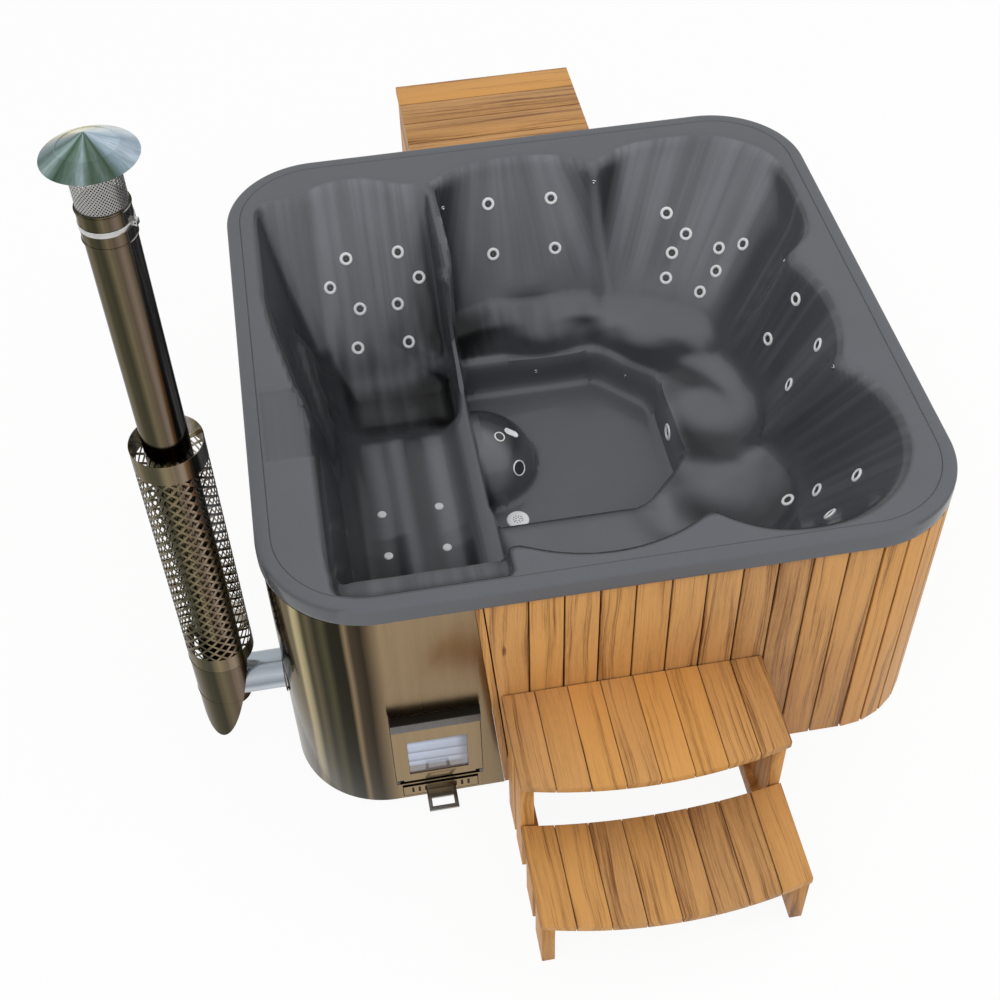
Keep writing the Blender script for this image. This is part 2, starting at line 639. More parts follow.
def clean_copy(node):
    """A merged copy of a CAD node's mesh, with its flat faces whole."""
    obj = only(linked(node + "_copy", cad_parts[node].data.copy()))
    bpy.ops.mesh.customdata_custom_splitnormals_clear()
    bpy.ops.object.mode_set(mode="EDIT")
    bpy.ops.mesh.select_all(action="SELECT")
    bpy.ops.mesh.remove_doubles(threshold=0.00002)
    bpy.ops.mesh.dissolve_limited(angle_limit=math.radians(0.6))
    bpy.ops.mesh.normals_make_consistent(inside=False)
    bpy.ops.object.mode_set(mode="OBJECT")
    return obj


def islands(mesh):
    """Lists of vertex numbers, one list for each loose part, in a fixed order."""
    links = [[] for _ in mesh.vertices]
    for edge in mesh.edges:
        a, b = edge.vertices
        links[a].append(b)
        links[b].append(a)
    seen = [False] * len(links)
    parts = []
    for start in range(len(links)):
        if seen[start]:
            continue
        seen[start] = True
        todo, part = [start], []
        while todo:
            v = todo.pop()
            part.append(v)
            for n in links[v]:
                if not seen[n]:
                    seen[n] = True
                    todo.append(n)
        parts.append(part)
    return parts


def number_boards(obj, seed, along=None):
    """Writes each board's grain coordinates and its own random number as attributes."""
    mesh = obj.data
    draw = random.Random(seed)
    co = np.empty(len(mesh.vertices) * 3)
    mesh.vertices.foreach_get("co", co)
    co = co.reshape(-1, 3)
    grain = np.zeros_like(co)
    number = np.zeros(len(co))
    side = np.zeros(len(co))
    for part in islands(mesh):
        p = co[part]
        centre = (p.max(0) + p.min(0)) / 2
        spread = np.cov((p - p.mean(0)).T)
        if along is None:
            size = p.max(0) - p.min(0)
            axis = np.eye(3)[int(np.argmax(size))]
        else:
            axis = np.eye(3)[along]
        flat = np.eye(3) - np.outer(axis, axis)
        _, vectors = np.linalg.eigh(flat @ spread @ flat + np.outer(axis, axis) * 1e3)
        thin, wide = vectors[:, 0], vectors[:, 1]
        thin = thin if thin[int(np.argmax(abs(thin)))] > 0 else -thin
        wide = wide if wide[int(np.argmax(abs(wide)))] > 0 else -wide
        shift = np.array([draw.uniform(-0.045, 0.045), draw.uniform(0.0, 0.02), draw.uniform(-9.0, 9.0)])
        sign = draw.choice((-1, 1))
        q = p - centre
        grain[part] = np.stack([q @ wide * sign, q @ thin, q @ axis], 1) + shift
        number[part] = draw.random()
        reach = q @ wide
        side[part] = reach / max(np.abs(reach).max(), 1e-6)
    layer = mesh.attributes.new("grain", "FLOAT_VECTOR", "POINT")
    layer.data.foreach_set("vector", grain.astype(np.float32).ravel())
    paint(mesh, "board", number)
    paint(mesh, "side", side)
    return obj


def boards_of(node, name, body, seed, along=None, width=None):
    """Boards with eased edges in place of a CAD node's sharp ones."""
    obj = bevelled(clean_copy(node), width or bpy.context.scene.tub_boards.edge)
    obj.name = obj.data.name = name
    number_boards(obj, seed, along)
    return dress(smooth(obj, 32), "oiled_wood", body, (node,))


def eased(node, name, body, material, width=0.0006, segments=2):
    """A metal or plastic piece with softened edges in place of a CAD node's sharp ones."""
    obj = clean_copy(node)
    if width:
        obj = bevelled(obj, width, segments)
    obj.name = obj.data.name = name
    return dress(smooth(obj, 32), material, body, (node,))


def outline_object(name, points, closed=False):
    """Edges through the points, as the start of a spun or extruded piece."""
    mesh = bpy.data.meshes.new(name)
    edges = [(i, i + 1) for i in range(len(points) - 1)]
    if closed:
        edges.append((len(points) - 1, 0))
    mesh.from_pydata(points, edges, [])
    return only(linked(name, mesh))


def turned(name, profile, steps=48, centre=(0, 0, 0), closed=True):
    """Turns a profile of (radius, height) points round the vertical through centre."""
    c = Vector(centre)
    obj = outline_object(name, [(c.x + r, c.y, c.z + z) for r, z in profile], closed)
    bpy.ops.object.mode_set(mode="EDIT")
    bpy.ops.mesh.select_all(action="SELECT")
    bpy.ops.mesh.spin(steps=steps, angle=2 * math.pi, center=c, axis=(0, 0, 1))
    bpy.ops.object.mode_set(mode="OBJECT")
    return outward(obj)


def bar(name, size, place, turn, width, centre=(0, 0, 0)):
    """A bar at a place, turned round the vertical through centre by an angle in radians."""
    bpy.ops.object.select_all(action="DESELECT")
    bpy.ops.mesh.primitive_cube_add(size=1)
    obj = made(name)
    obj.data.transform(Matrix.Diagonal((*size, 1)))
    obj.data.transform(Matrix.Translation(place))
    obj.data.transform(Matrix.Rotation(turn, 4, "Z"))
    obj.data.transform(Matrix.Translation(centre))
    return bevelled(obj, width, 1)


def placed(obj, name, point, normal):
    """A copy with its own mesh, its Z turned along normal and its origin moved to point."""
    copy = linked(name, obj.data.copy())
    turn = Vector(normal).normalized().to_track_quat("Z", "Y").to_matrix().to_4x4()
    copy.data.transform(Matrix.Translation(Vector(point)) @ turn)
    return copy


def discard(obj):
    bpy.data.objects.remove(obj, do_unlink=True)


# The basin's open space: distances in millimetres, negative in the open

SEAT_Z = 500.0
WELL_Z = 350.0
RIM_Z = 970.0
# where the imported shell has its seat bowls: middle x, middle y, radius at the seat front, radius at the rim
BOWLS = [(0, 340, 365, 540), (400, 400, 290, 500), (360, -100, 320, 510), (470, -530, 250, 410)]
# leaning seat bowls: middle x, y and radius at the seat front height, then the same at the rim,
# then the direction in which the pan falls and where along it the fall starts
SEATS = [((20, -150, 805), (-10, 470, 425), (0, 1), 400),
         ((340, 300, 280), (560, 512, 386), (0.707, 0.707), 430),
         ((335, 20, 345), (300, -66, 548), (1, 0), 390),
         ((410, -370, 275), (533, -592, 355), (0.73, -0.69), 410)]
BENCH = ((-30, -400, 330), (-30, -420, 500), (0, -1), 390)
DISHES = [(30, 500, 120), (395, 395, 125), (510, -60, 135), (480, -390, 135)]
DISH_DEPTH = 30.0
PAN_FALL = 0.13
WELL = [(-282, -365), (205, -365), (375, -185), (375, 200), (210, 372), (-282, 372)]
LEG_X = (-630, -445)
BACK_SLOPE = 450 / 520
LEAN = math.atan2(450, 520)
LEAN_AXIS = (0.0, math.sin(LEAN), math.cos(LEAN))
LEAN_POINT = (-585, 204.5, 636.5)
LEAN_R = 285
DOME = (-275, 20, 350)
DOME_R = 195
# the camera stands here, and the small fittings are set along its sight lines
EYE = Vector((-0.72776765, -3.47054925, 4.11130299))
DIVIDER_Z = 560.0
HOLLOW_Y = 121.0
HOLLOW_Z = 452.0
MOUTH_R = 205.0
# arm rest along the lounger's left wall
ARM_FRONT = -240.0
ARM_BACK = 450.0
ARM_FRONT_Z = 640.0
ARM_BACK_Z = 765.0
ARM_WIDTH = 46.0


def within(distances, r):
    """Inside of all the faces, with the inner edges rounded by r."""
    pushed = [d + r for d in distances]
    outside = np.sqrt(sum(np.maximum(v, 0) ** 2 for v in pushed))
    return outside + np.minimum(functools.reduce(np.maximum, pushed), 0) - r


def melt(a, b, k):
    """Union of two open spaces with a soft ridge between them."""
    h = np.clip(0.5 + 0.5 * (b - a) / k, 0, 1)
    return b + (a - b) * h - k * h * (1 - h)


def carve(a, b, k):
    return -melt(-a, -b, k)


def seat(x, y, z, form, limits=()):
    """A seat: a leaning round back over a pan that falls towards it."""
    low, top, fall, start = form
    t = (z - SEAT_Z) / (RIM_Z - SEAT_Z)
    cx, cy, radius = (a + (b - a) * t for a, b in zip(low, top))
    slope = (top[2] - low[2] + math.hypot(top[0] - low[0], top[1] - low[1])) / (RIM_Z - SEAT_Z)
    wall = (np.hypot(x - cx, y - cy) - radius) / math.hypot(1, slope)
    pan = SEAT_Z - PAN_FALL * np.clip(x * fall[0] + y * fall[1] - start, 0, 260) - z
    return within([wall, pan] + list(limits), 62)


def dish(x, y, z, d):
    radius = (d[2] ** 2 + DISH_DEPTH ** 2) / (2 * DISH_DEPTH)
    rise = z - SEAT_Z + DISH_DEPTH + 12 - radius
    ball = np.sqrt((x - d[0]) ** 2 + (y - d[1]) ** 2 + rise ** 2) - radius
    return np.maximum(ball, z - SEAT_Z - 6)


def well(x, y, z):
    sides = []
    for i, p in enumerate(WELL):
        q = WELL[(i + 1) % len(WELL)]
        run = math.hypot(q[0] - p[0], q[1] - p[1])
        nx, ny = (q[1] - p[1]) / run, -(q[0] - p[0]) / run
        sides.append((x - p[0]) * nx + (y - p[1]) * ny)
    wall = within(sides, 34) - 0.06 * (z - 425)
    return within([wall, WELL_Z - z], 20)


def ease(t):
    t = np.clip(t, 0, 1)
    return t * t * (3 - 2 * t)


def left_wall(y, z):
    """Left side of the lounger: it leans outwards to the rim, over a narrow arm rest."""
    rim = -798 - 102 * ease((y + 370) / 820)
    wall = -735 + (rim + 735) * np.maximum(z - 450, 0) / 520
    top = ARM_FRONT_Z + (ARM_BACK_Z - ARM_FRONT_Z) * (y - ARM_FRONT) / (ARM_BACK - ARM_FRONT)
    width = ARM_WIDTH * ease((y - ARM_FRONT) / 150) * ease((ARM_BACK - y) / 120)
    return wall + width * ease((top - z) / 46)


def lounger(x, y, z):
    back = (y - 340 - BACK_SLOPE * (z - 450)) / math.hypot(1, BACK_SLOPE)
    right = x + 322
    left = (left_wall(y, z) - x) * 0.96
    front = (HOLLOW_Y - y - 0.5455 * (z - HOLLOW_Z)) / math.hypot(1, 0.5455)
    hollow = within([y - 372, HOLLOW_Z - z, front, left, right], 60)
    legs = within([back, 562 - z, -862 - y, left, right], 30)
    ledge = within([back, 930 - z, -957 - y, left, right], 22)
    ox, oy, oz = x - LEAN_POINT[0], y - LEAN_POINT[1], z - LEAN_POINT[2]
    run = oy * LEAN_AXIS[1] + oz * LEAN_AXIS[2]
    round_back = np.sqrt(ox ** 2 + (oy - run * LEAN_AXIS[1]) ** 2 + (oz - run * LEAN_AXIS[2]) ** 2) - LEAN_R
    scoop = within([round_back, 165 - y, 484 - z, right, left], 62)
    channels = [within([np.hypot(x - cx, z - 600) - 110, -862 - y, y - 118], 24) for cx in LEG_X]
    legs = melt(legs, melt(*channels, 70), 30)
    space = melt(scoop, hollow, 46)
    space = melt(space, legs, 44)
    space = melt(space, ledge, 20)
    return space


def ridge(x, y, z):
    rear = DIVIDER_Z + (RIM_Z - DIVIDER_Z) * ease((y - 100) / 380) ** 0.8 - z
    fore = (DIVIDER_Z + 1.75 * (-620 - y) - z) / math.hypot(1, 1.75)
    return within([rear * 0.7, fore, y - 800, -900 - y, -346 - x, x + 258], 8)


def open_space(x, y, z):
    """Soft distance to the basin's surface, negative in the open space above it."""
    props = bpy.context.scene.tub_shell
    k = props.seat_blend / MM
    seats = seat(x, y, z, SEATS[0], [x - 296])
    for form in SEATS[1:]:
        seats = melt(seats, seat(x, y, z, form), k)
    seats = melt(seats, seat(x, y, z, BENCH, [x - 300, y + 320]), k)
    for d in DISHES:
        seats = melt(seats, dish(x, y, z, d), 34)
    seats = carve(seats, -282 - x, 20)
    space = melt(seats, well(x, y, z), 24)
    space = melt(space, lounger(x, y, z), 12)
    space = melt(space, ridge(x, y, z), 14)
    qx, qy = np.abs(x + 2.5) - 907.5 + MOUTH_R, np.abs(y + 32.5) - 925.5 + MOUTH_R
    mouth = np.hypot(np.maximum(qx, 0), np.maximum(qy, 0)) + np.minimum(np.maximum(qx, qy), 0) - MOUTH_R
    space = carve(space, mouth, 40)
    ball = np.sqrt((x - DOME[0]) ** 2 + (y - DOME[1]) ** 2 + (z - DOME[2]) ** 2) - DOME_R
    space = carve(space, -within([ball, -314 - x], 4), 12)
    space = melt(space, RIM_Z - z, props.rim_blend / MM)
    pad = within([-951 - x, x + 800, -420 - y, y + 125, RIM_Z - 2.5 - z], 1.5)
    return melt(space, pad, 3)


def slope_of(p):
    """Gradient of open_space at an array of points."""
    e = 0.5
    parts = []
    for i in range(3):
        step = np.zeros(3)
        step[i] = e
        a, b = p + step, p - step
        parts.append((open_space(*a.T) - open_space(*b.T)) / (2 * e))
    return np.stack(parts, -1)


def onto_basin(point, direction):
    """The surface point met along direction from point, and the surface's normal there, in metres."""
    p = np.array(point, float)
    n = np.array(direction, float)
    n /= np.linalg.norm(n)
    for _ in range(30):
        value = open_space(*p[:, None])[0]
        g = slope_of(p[None])[0] @ n
        if abs(g) < 0.2:
            g = -0.6
        p = p - n * value / g * 0.8
    normal = -slope_of(p[None])[0]
    return Vector(p * MM), Vector(normal).normalized()


def grid_lines(stops, cell):
    """Positions along one axis; stops are (end, relative spacing) after the first position."""
    lines = [stops[0][0]]
    for end, spacing in stops[1:]:
        start = lines[-1]
        n = max(1, round((end - start) / (spacing * cell)))
        lines += [start + (end - start) * (i + 1) / n for i in range(n)]
    return np.array(lines)


EDGE_IN = 48.0
# end and relative spacing of the grid's columns and rows, and its corner radius
GRID_X = [(-952, 0), (-800, 1.1), (-720, 0.7), (-352, 1.0), (-252, 0.32), (380, 0.95), (900, 1.05),
          (952, 0.9)]
GRID_Y = [(-962, 0), (-930, 0.7), (-840, 0.75), (-400, 1.1), (-340, 0.7), (345, 1.0), (400, 0.7),
          (880, 1.1), (962, 1.0)]
GRID_HALF = (952.0, 962.0)
GRID_CORNER = 262.0
RELAX_TURNS = 26
# side that the shell's painted shading is lightest on
LIGHT_SIDE = (-0.20, -0.62, 0.76)


def rim_point(x, y):
    """Moves a point of the square grid so that the grid ends on a round-cornered outline."""
    r = GRID_CORNER
    ax = np.abs(x) - (GRID_HALF[0] - r)
    ay = np.abs(y) - (GRID_HALF[1] - r)
    corner = (ax > 0) & (ay > 0)
    sx = np.where(corner, ax * np.sqrt(np.maximum(1 - ay ** 2 / (2 * r * r), 0)), ax)
    sy = np.where(corner, ay * np.sqrt(np.maximum(1 - ax ** 2 / (2 * r * r), 0)), ay)
    return np.sign(x) * (sx + GRID_HALF[0] - r), np.sign(y) * (sy + GRID_HALF[1] - r)


def rim_normal(x, y):
    """Outward direction of the round-cornered outline at a point on it."""
    ax, ay = abs(x) - (GRID_HALF[0] - GRID_CORNER), abs(y) - (GRID_HALF[1] - GRID_CORNER)
    if ax > 1e-6 and ay > 1e-6:
        size = math.hypot(ax, ay)
        return math.copysign(ax / size, x), math.copysign(ay / size, y)
    if ax > ay:
        return math.copysign(1.0, x), 0.0
    return 0.0, math.copysign(1.0, y)


def lip_profile():
    """Rim edge beyond the grid: distance from the outer edge, height."""
    rows = [(47.4, 970), (46.4, 969.6), (45.6, 968.2), (44.6, 967.6), (43.6, 968.4), (42.8, 970.0),
            (41.5, 970.4), (34, 970.4), (24, 970.2), (15, 969.4)]
    for i in range(1, 7):
        t = math.radians(90 * i / 6)
        rows.append((12 - 11.5 * math.sin(t), 957.8 + 11.0 * math.cos(t)))
    rows += [(0.2, 945), (0.0, 928), (0.2, 914)]
    for i in range(1, 6):
        t = math.radians(180 * i / 5)
        rows.append((3.9 - 3.6 * math.cos(t), 911 - 3.6 * math.sin(t)))
    return rows + [(7.6, 925), (8.2, 950), (13, 960), (26, 962.2)]


def sky_share(points, xs, ys, height):
    """Share of the sky that each point sees over the basin's height field."""
    share = np.zeros(len(points))
    turns = 16
    for turn in range(turns):
        a = 2 * math.pi * (turn + 0.5) / turns
        horizon = np.zeros(len(points))
        for reach in (18, 36, 60, 95, 140, 200, 280, 380, 520):
            i = np.clip(np.searchsorted(xs, points[:, 0] + reach * math.cos(a)), 0, len(xs) - 1)
            j = np.clip(np.searchsorted(ys, points[:, 1] + reach * math.sin(a)), 0, len(ys) - 1)
            horizon = np.maximum(horizon, (height[i, j] - points[:, 2]) / reach)
        share += (1 - horizon / np.hypot(1, horizon)) / turns
    return share


def softened(values, turns):
    """Averages a grid of numbers with its neighbours."""
    values = values.copy()
    for _ in range(turns):
        mean = (values[:-2, 1:-1] + values[2:, 1:-1] + values[1:-1, :-2] + values[1:-1, 2:]) / 4
        values[1:-1, 1:-1] = 0.4 * values[1:-1, 1:-1] + 0.6 * mean
    return values


def sweep_of(points):
    """Coordinate across the seat backs, in metres, constant along each back's own lines."""
    x, y, z = points.T
    best = lounger(x, y, z)
    sweep = x * MM
    for number, (low, top, fall, start) in enumerate(SEATS):
        form = seat(x, y, z, (low, top, fall, start), [x - 296, -282 - x] if number == 0 else [-282 - x])
        t = (z - SEAT_Z) / (RIM_Z - SEAT_Z)
        cx, cy = (a + (b - a) * t for a, b in zip(low[:2], top[:2]))
        around = np.arctan2(y - cy, x - cx) * top[2] * MM + 3 * (number + 1)
        sweep = np.where(form < best, around, sweep)
        best = np.minimum(form, best)
    return sweep


def paint(mesh, name, values):
    """Stores one number per point."""
    mesh.attributes.new(name, "FLOAT", "POINT").data.foreach_set("value", np.asarray(values, np.float32))


def drop(gx, gy):
    """Height at which the surface is first met below each point of the grid."""
    levels = np.arange(RIM_Z + 2, WELL_Z - 12, -4.0)
    height = np.full(gx.shape, 340.0)
    last = open_space(gx, gy, np.full(gx.shape, levels[0]))
    found = np.zeros(gx.shape, bool)
    for upper, lower in zip(levels, levels[1:]):
        now = open_space(gx, gy, np.full(gx.shape, lower))
        hit = ~found & (now >= 0)
        share = np.where(hit, -last / np.where(hit, now - last, 1), 0)
        height = np.where(hit, upper - share * (upper - lower), height)
        found |= hit
        last = now
    if not found.all():
        raise RuntimeError("the basin has a hole")
    return height


def relax(grid):
    """Spreads the grid's points evenly over the walls and brings them back onto the surface."""
    for turn in range(RELAX_TURNS):
        inner = grid[1:-1, 1:-1]
        mean = (grid[:-2, 1:-1] + grid[2:, 1:-1] + grid[1:-1, :-2] + grid[1:-1, 2:]) / 4
        flat = (inner + 0.5 * (mean - inner)).reshape(-1, 3)
        for _ in range(2 if turn < RELAX_TURNS - 1 else 6):
            value = open_space(*flat.T)
            g = slope_of(flat)
            move = g * (value / np.maximum((g * g).sum(-1), 0.2))[:, None]
            flat = flat - move * np.minimum(1, 12 / np.maximum(np.abs(move).max(-1), 1e-6))[:, None]
        grid[1:-1, 1:-1] = flat.reshape(inner.shape)
    return grid


def shading(grid, xs, ys, height):
    """Two numbers for each point: its share of the sky and how pale its surface looks."""
    nx, ny = grid.shape[:2]
    flat = grid.reshape(-1, 3)
    x, y, z = flat.T
    facing = -slope_of(flat)
    facing /= np.linalg.norm(facing, axis=-1)[:, None]
    sky = np.minimum(1, sky_share(flat, xs, ys, height) / (0.5 + 0.5 * facing[:, 2]))
    lit = ease((facing @ np.array(LIGHT_SIDE) - 0.68) / 0.17)
    light = 0.24 + 0.76 * lit + 0.34 * (1 - lit) * np.clip(-facing[:, 0], 0, 1)
    # the well's walls are lit by its pale floor, and its floor has no deep shade
    low = ease((16 - well(x, y, z)) / 10) * ease((SEAT_Z - 8 - z) / 25)
    floor = z < WELL_Z + 14
    sky = np.where(floor & (facing[:, 2] > 0.8), np.maximum(sky, 0.53), sky)
    sky, light = sky + 0.04 * low, light + 0.28 * low * (1 - lit)
    legs = ease((x + 570) / 110) * (x < -330) * ease((60 - y) / 80)
    light = light * (1 + 0.32 * legs * (z < 640))
    sky, light = (softened(v.reshape(nx, ny), 2).ravel() for v in (sky, light))
    sky = np.where(floor, softened(sky.reshape(nx, ny), 16).ravel(), sky)
    # the crest of the divider catches the light along its whole length
    on_divider = (np.abs(x + 302) < 40) & (y < 620) & (y > -640)
    tops = np.where(on_divider, z, 0).reshape(nx, ny).max(0)
    crest = on_divider * (1 - ease((np.tile(tops, nx) - z) / 38))
    return sky + (1 - sky) * crest, light + (0.66 - light) * crest


def streak_mask(sweep):
    """1 where the streaks show, 0 where two seat backs meet."""
    mask = np.ones(sweep.shape)
    mask[1:] = np.where(np.abs(np.diff(sweep, axis=0)) > 0.08, 0, mask[1:])
    mask[:, 1:] = np.where(np.abs(np.diff(sweep, axis=1)) > 0.08, 0, mask[:, 1:])
    for way in (-1, 1):
        mask = np.minimum(mask, np.minimum(np.roll(mask, way, 0), np.roll(mask, way, 1)))
    return softened(mask, 2).ravel()


def shell_mesh(grid, thickness):
    """The grid, the lip that turns down round it, and an underside that joins the lip's end."""
    nx, ny = grid.shape[:2]
    points = [tuple(v * MM) for v in grid.reshape(-1, 3)]
    faces = [(i * ny + j, (i + 1) * ny + j, (i + 1) * ny + j + 1, i * ny + j + 1)
             for i in range(nx - 1) for j in range(ny - 1)]
    inner_faces = list(faces)
    loop = ([i * ny for i in range(nx)] + [(nx - 1) * ny + j for j in range(1, ny)]
            + [i * ny + ny - 1 for i in range(nx - 2, -1, -1)] + [j for j in range(ny - 2, 0, -1)])
    m = len(loop)
    normals = [rim_normal(*(np.array(points[v][:2]) / MM)) for v in loop]
    previous = loop
    for distance, z in lip_profile():
        ring = []
        for v, n in zip(loop, normals):
            reach = EDGE_IN - distance
            ring.append(len(points))
            points.append((points[v][0] + n[0] * reach * MM, points[v][1] + n[1] * reach * MM, z * MM))
        faces += [(previous[k], ring[k], ring[(k + 1) % m], previous[(k + 1) % m]) for k in range(m)]
        previous = ring
    draft = bpy.data.meshes.new("draft")
    draft.from_pydata(points, [], faces)
    draft.update()
    first = len(points)
    points += [tuple(v.co - v.normal * thickness) for v in draft.vertices[:nx * ny]]
    bpy.data.meshes.remove(draft)
    faces += [tuple(first + i for i in reversed(face)) for face in inner_faces]
    faces += [(previous[k], first + loop[k], first + loop[(k + 1) % m], previous[(k + 1) % m])
              for k in range(m)]
    mesh = bpy.data.meshes.new("moulded_shell")
    mesh.from_pydata(points, [], faces)
    mesh.update()
    return mesh


class TUB_OT_shell(bpy.types.Operator):
    """Makes the moulded basin with its seats, lounger, footwell and rim"""
    bl_idname = "tub.shell"
    bl_label = "Moulded shell"

    def execute(self, context):
        props = context.scene.tub_shell
        xs, ys = grid_lines(GRID_X, props.cell / MM), grid_lines(GRID_Y, props.cell / MM)
        gx, gy = rim_point(*np.meshgrid(xs, ys, indexing="ij"))
        height = drop(gx, gy)
        grid = relax(np.stack([gx, gy, height], -1))
        sky, light = shading(grid, xs, ys, height)
        sweep = sweep_of(grid.reshape(-1, 3))
        mesh = shell_mesh(grid, props.thickness)
        rest = len(mesh.vertices) - sweep.size
        for name, values, beyond in (("sky", sky, 1.0), ("light", light, 0.6), ("sweep", sweep, 0.0),
                                     ("streaked", streak_mask(sweep.reshape(gx.shape)), 0.0)):
            paint(mesh, name, np.r_[values, np.full(rest, beyond)])
        dress(smooth(linked("moulded_shell", mesh), 50), "acrylic", TUB, ("spa_shell",))
        return {"FINISHED"}


# Places of the fittings, in millimetres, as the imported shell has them

CONE_JETS = [(0, 101.1, 835), (0, 74.6, 833), (0, 102.5, 662), (0, 71.9, 662),
             (1, 68.5, 736), (1, 56.3, 679), (1, 62.5, 607), (1, 31.3, 602), (1, 35, 675), (1, 21.9, 733),
             (2, 22.3, 870), (2, 26.7, 707), (2, -0.9, 832), (2, 0.8, 659), (3, -10, 735)]
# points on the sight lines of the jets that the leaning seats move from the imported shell's places
SIGHT_JETS = [(468, 460, 700), (564, 365, 700), (673, -593, 700), (575, -615, 700), (681, -693, 700)]
BACK_JETS = [(424, 96.5), (423, 58.8), (332, 110.8), (247, 91.7), (247, 64.3), (114, 97), (112, 59.9)]
FLAT_JET = (-378, 328)
LEG_JET_Y = (-253, -428)
AIR_SIGHTS = [(-269, 691, 940), (265, 731, 940), (780, 191, 940), (777, -322, 940)]
WALL_JET_Y, WALL_JET_Z = -5, 420
WALL_AIR_Z = 425
# bearing and lift on the dome, outer radius
DOME_PORTS = [(-30.8, 66, 19), (-45.2, 30.7, 27)]
DOME_SLOT = (-6.4, 54.9)


def bowl_place(number, bearing, z):
    """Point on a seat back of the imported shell."""
    cx, cy, low, top = BOWLS[number]
    a = math.radians(bearing)
    radius = low + (top - low) / (RIM_Z - SEAT_Z) * (z - SEAT_Z)
    return (cx + radius * math.cos(a), cy + radius * math.sin(a), z)


def back_place(run, bearing):
    """Point on the lounger back: distance along its axis and bearing round it."""
    a = math.radians(bearing)
    tilt = Matrix.Rotation(-LEAN, 3, "X")
    out = Vector((math.cos(a), math.sin(a), 0))
    return tuple(Vector(LEAN_POINT) + tilt @ (out * LEAN_R + Vector((0, 0, run))))


def flat_place(x, run):
    reach = (340 - LEAN_POINT[1]) * math.cos(LEAN) - (450 - LEAN_POINT[2]) * math.sin(LEAN)
    tilt = Matrix.Rotation(-LEAN, 3, "X")
    return tuple(Vector(LEAN_POINT) + tilt @ Vector((x - LEAN_POINT[0], reach, run)))


def dome_place(bearing, lift):
    a, b = math.radians(bearing), math.radians(lift)
    out = Vector((math.cos(b) * math.cos(a), math.cos(b) * math.sin(a), math.sin(b)))
    return tuple(Vector(DOME) + out * DOME_R), out


def sighted(point):
    """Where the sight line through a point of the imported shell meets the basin, and the normal there."""
    return onto_basin(point, EYE / MM - Vector(point))


def jet_places():
    places = [bowl_place(*j) for j in CONE_JETS] + [back_place(*j) for j in BACK_JETS]
    return [sighted(p) for p in places + [flat_place(*FLAT_JET)] + SIGHT_JETS]


def rounded_profile(points, width):
    """Profile points with each inner corner cut in two, for softer turned edges."""
    soft = [points[0]]
    for before, here, after in zip(points, points[1:], points[2:]):
        for other in (before, after):
            run = math.hypot(other[0] - here[0], other[1] - here[1])
            share = min(0.45, width / run) if run else 0
            soft.append((here[0] + (other[0] - here[0]) * share, here[1] + (other[1] - here[1]) * share))
    return soft + [points[-1]]


def milli(points):
    return [(r * MM, z * MM) for r, z in points]


def spread_copies(name, source, places, lift=0.0):
    copies = [placed(source, name + "_%02d" % i, Vector(p) + Vector(n) * lift, n)
              for i, (p, n) in enumerate(places)]
    discard(source)
    return joined(name, copies)


def fitting(name, points, vertices, width=0.0):
    """A turned piece from a profile in millimetres, with its inner corners softened by a width."""
    return turned(name, milli(rounded_profile(points, width) if width else points), vertices)


def hole_ring(radius, count):
    turns = [i * 2 * math.pi / count for i in range(count)]
    return [(radius * math.cos(a), radius * math.sin(a)) for a in turns]


class TUB_OT_jets(bpy.types.Operator):
    """Makes the massage jets: rims, dished faces and nozzles"""
    bl_idname = "tub.jets"
    bl_label = "Massage jets"

    def execute(self, context):
        places = jet_places()
        rim = fitting("jet_rim", [(23, 0.2), (22.6, 2.4), (20.8, 4.2), (17.4, 4.9), (14.2, 4.4), (12.4, 3.1),
                                  (12.0, 0.2), (23, 0.2)], 32, 0.4)
        face = fitting("jet_cup", [(13.7, 2.6), (12.0, 1.7), (10.6, -0.6), (9.6, -4.0), (9.6, -7.0),
                                   (0.0, -7.0), (0.0, -9.0), (14.9, -9.0), (14.9, 0.4)], 28)
        nozzle = fitting("jet_nozzle", [(3.6, -6.9), (3.6, 1.6), (4.4, 2.9), (7.0, 2.7), (8.4, 1.2),
                                        (8.8, -1.6), (8.4, -6.9), (3.6, -6.9)], 24, 0.3)
        ribs = [bar("rib%d" % i, (0.0046, 0.0015, 0.005), (0.0076, 0, -0.0012), i * 2 * math.pi / 3, 0.0004)
                for i in range(3)]
        nozzle = joined("jet_nozzle", [nozzle] + ribs)
        barrel = fitting("jet_barrel", [(14.6, 0.1), (14.6, -33.8), (9.0, -33.8), (9.0, -10.0),
                                        (14.0, -9.2)], 24)
        elbow = fitting("jet_elbow", [(6, -15), (6, 15), (4, 15), (4, -15)], 16)
        elbow.data.transform(Matrix.Translation((0, 0, -0.034)) @ Matrix.Rotation(math.pi / 2, 4, "X"))
        barrel = joined("jet_barrel", [barrel, elbow])
        dress(smooth(spread_copies("jet_rims", rim, places)), "jet_face", TUB, ("massage_jets",))
        dress(smooth(spread_copies("jet_cups", face, places)), "jet_dark", TUB)
        dress(smooth(spread_copies("jet_nozzles", nozzle, places)), "jet_dark", TUB)
        dress(smooth(spread_copies("jet_barrels", barrel, places)), "white_pipe", TUB)
        nut = fitting("jet_nut", [(15.2, -7), (20, -7), (20, -13), (15.2, -13), (15.2, -7)], 8)
        dress(spread_copies("jet_nut_rings", nut, places), "white_pipe", TUB, ("jet_nuts",))
        return {"FINISHED"}


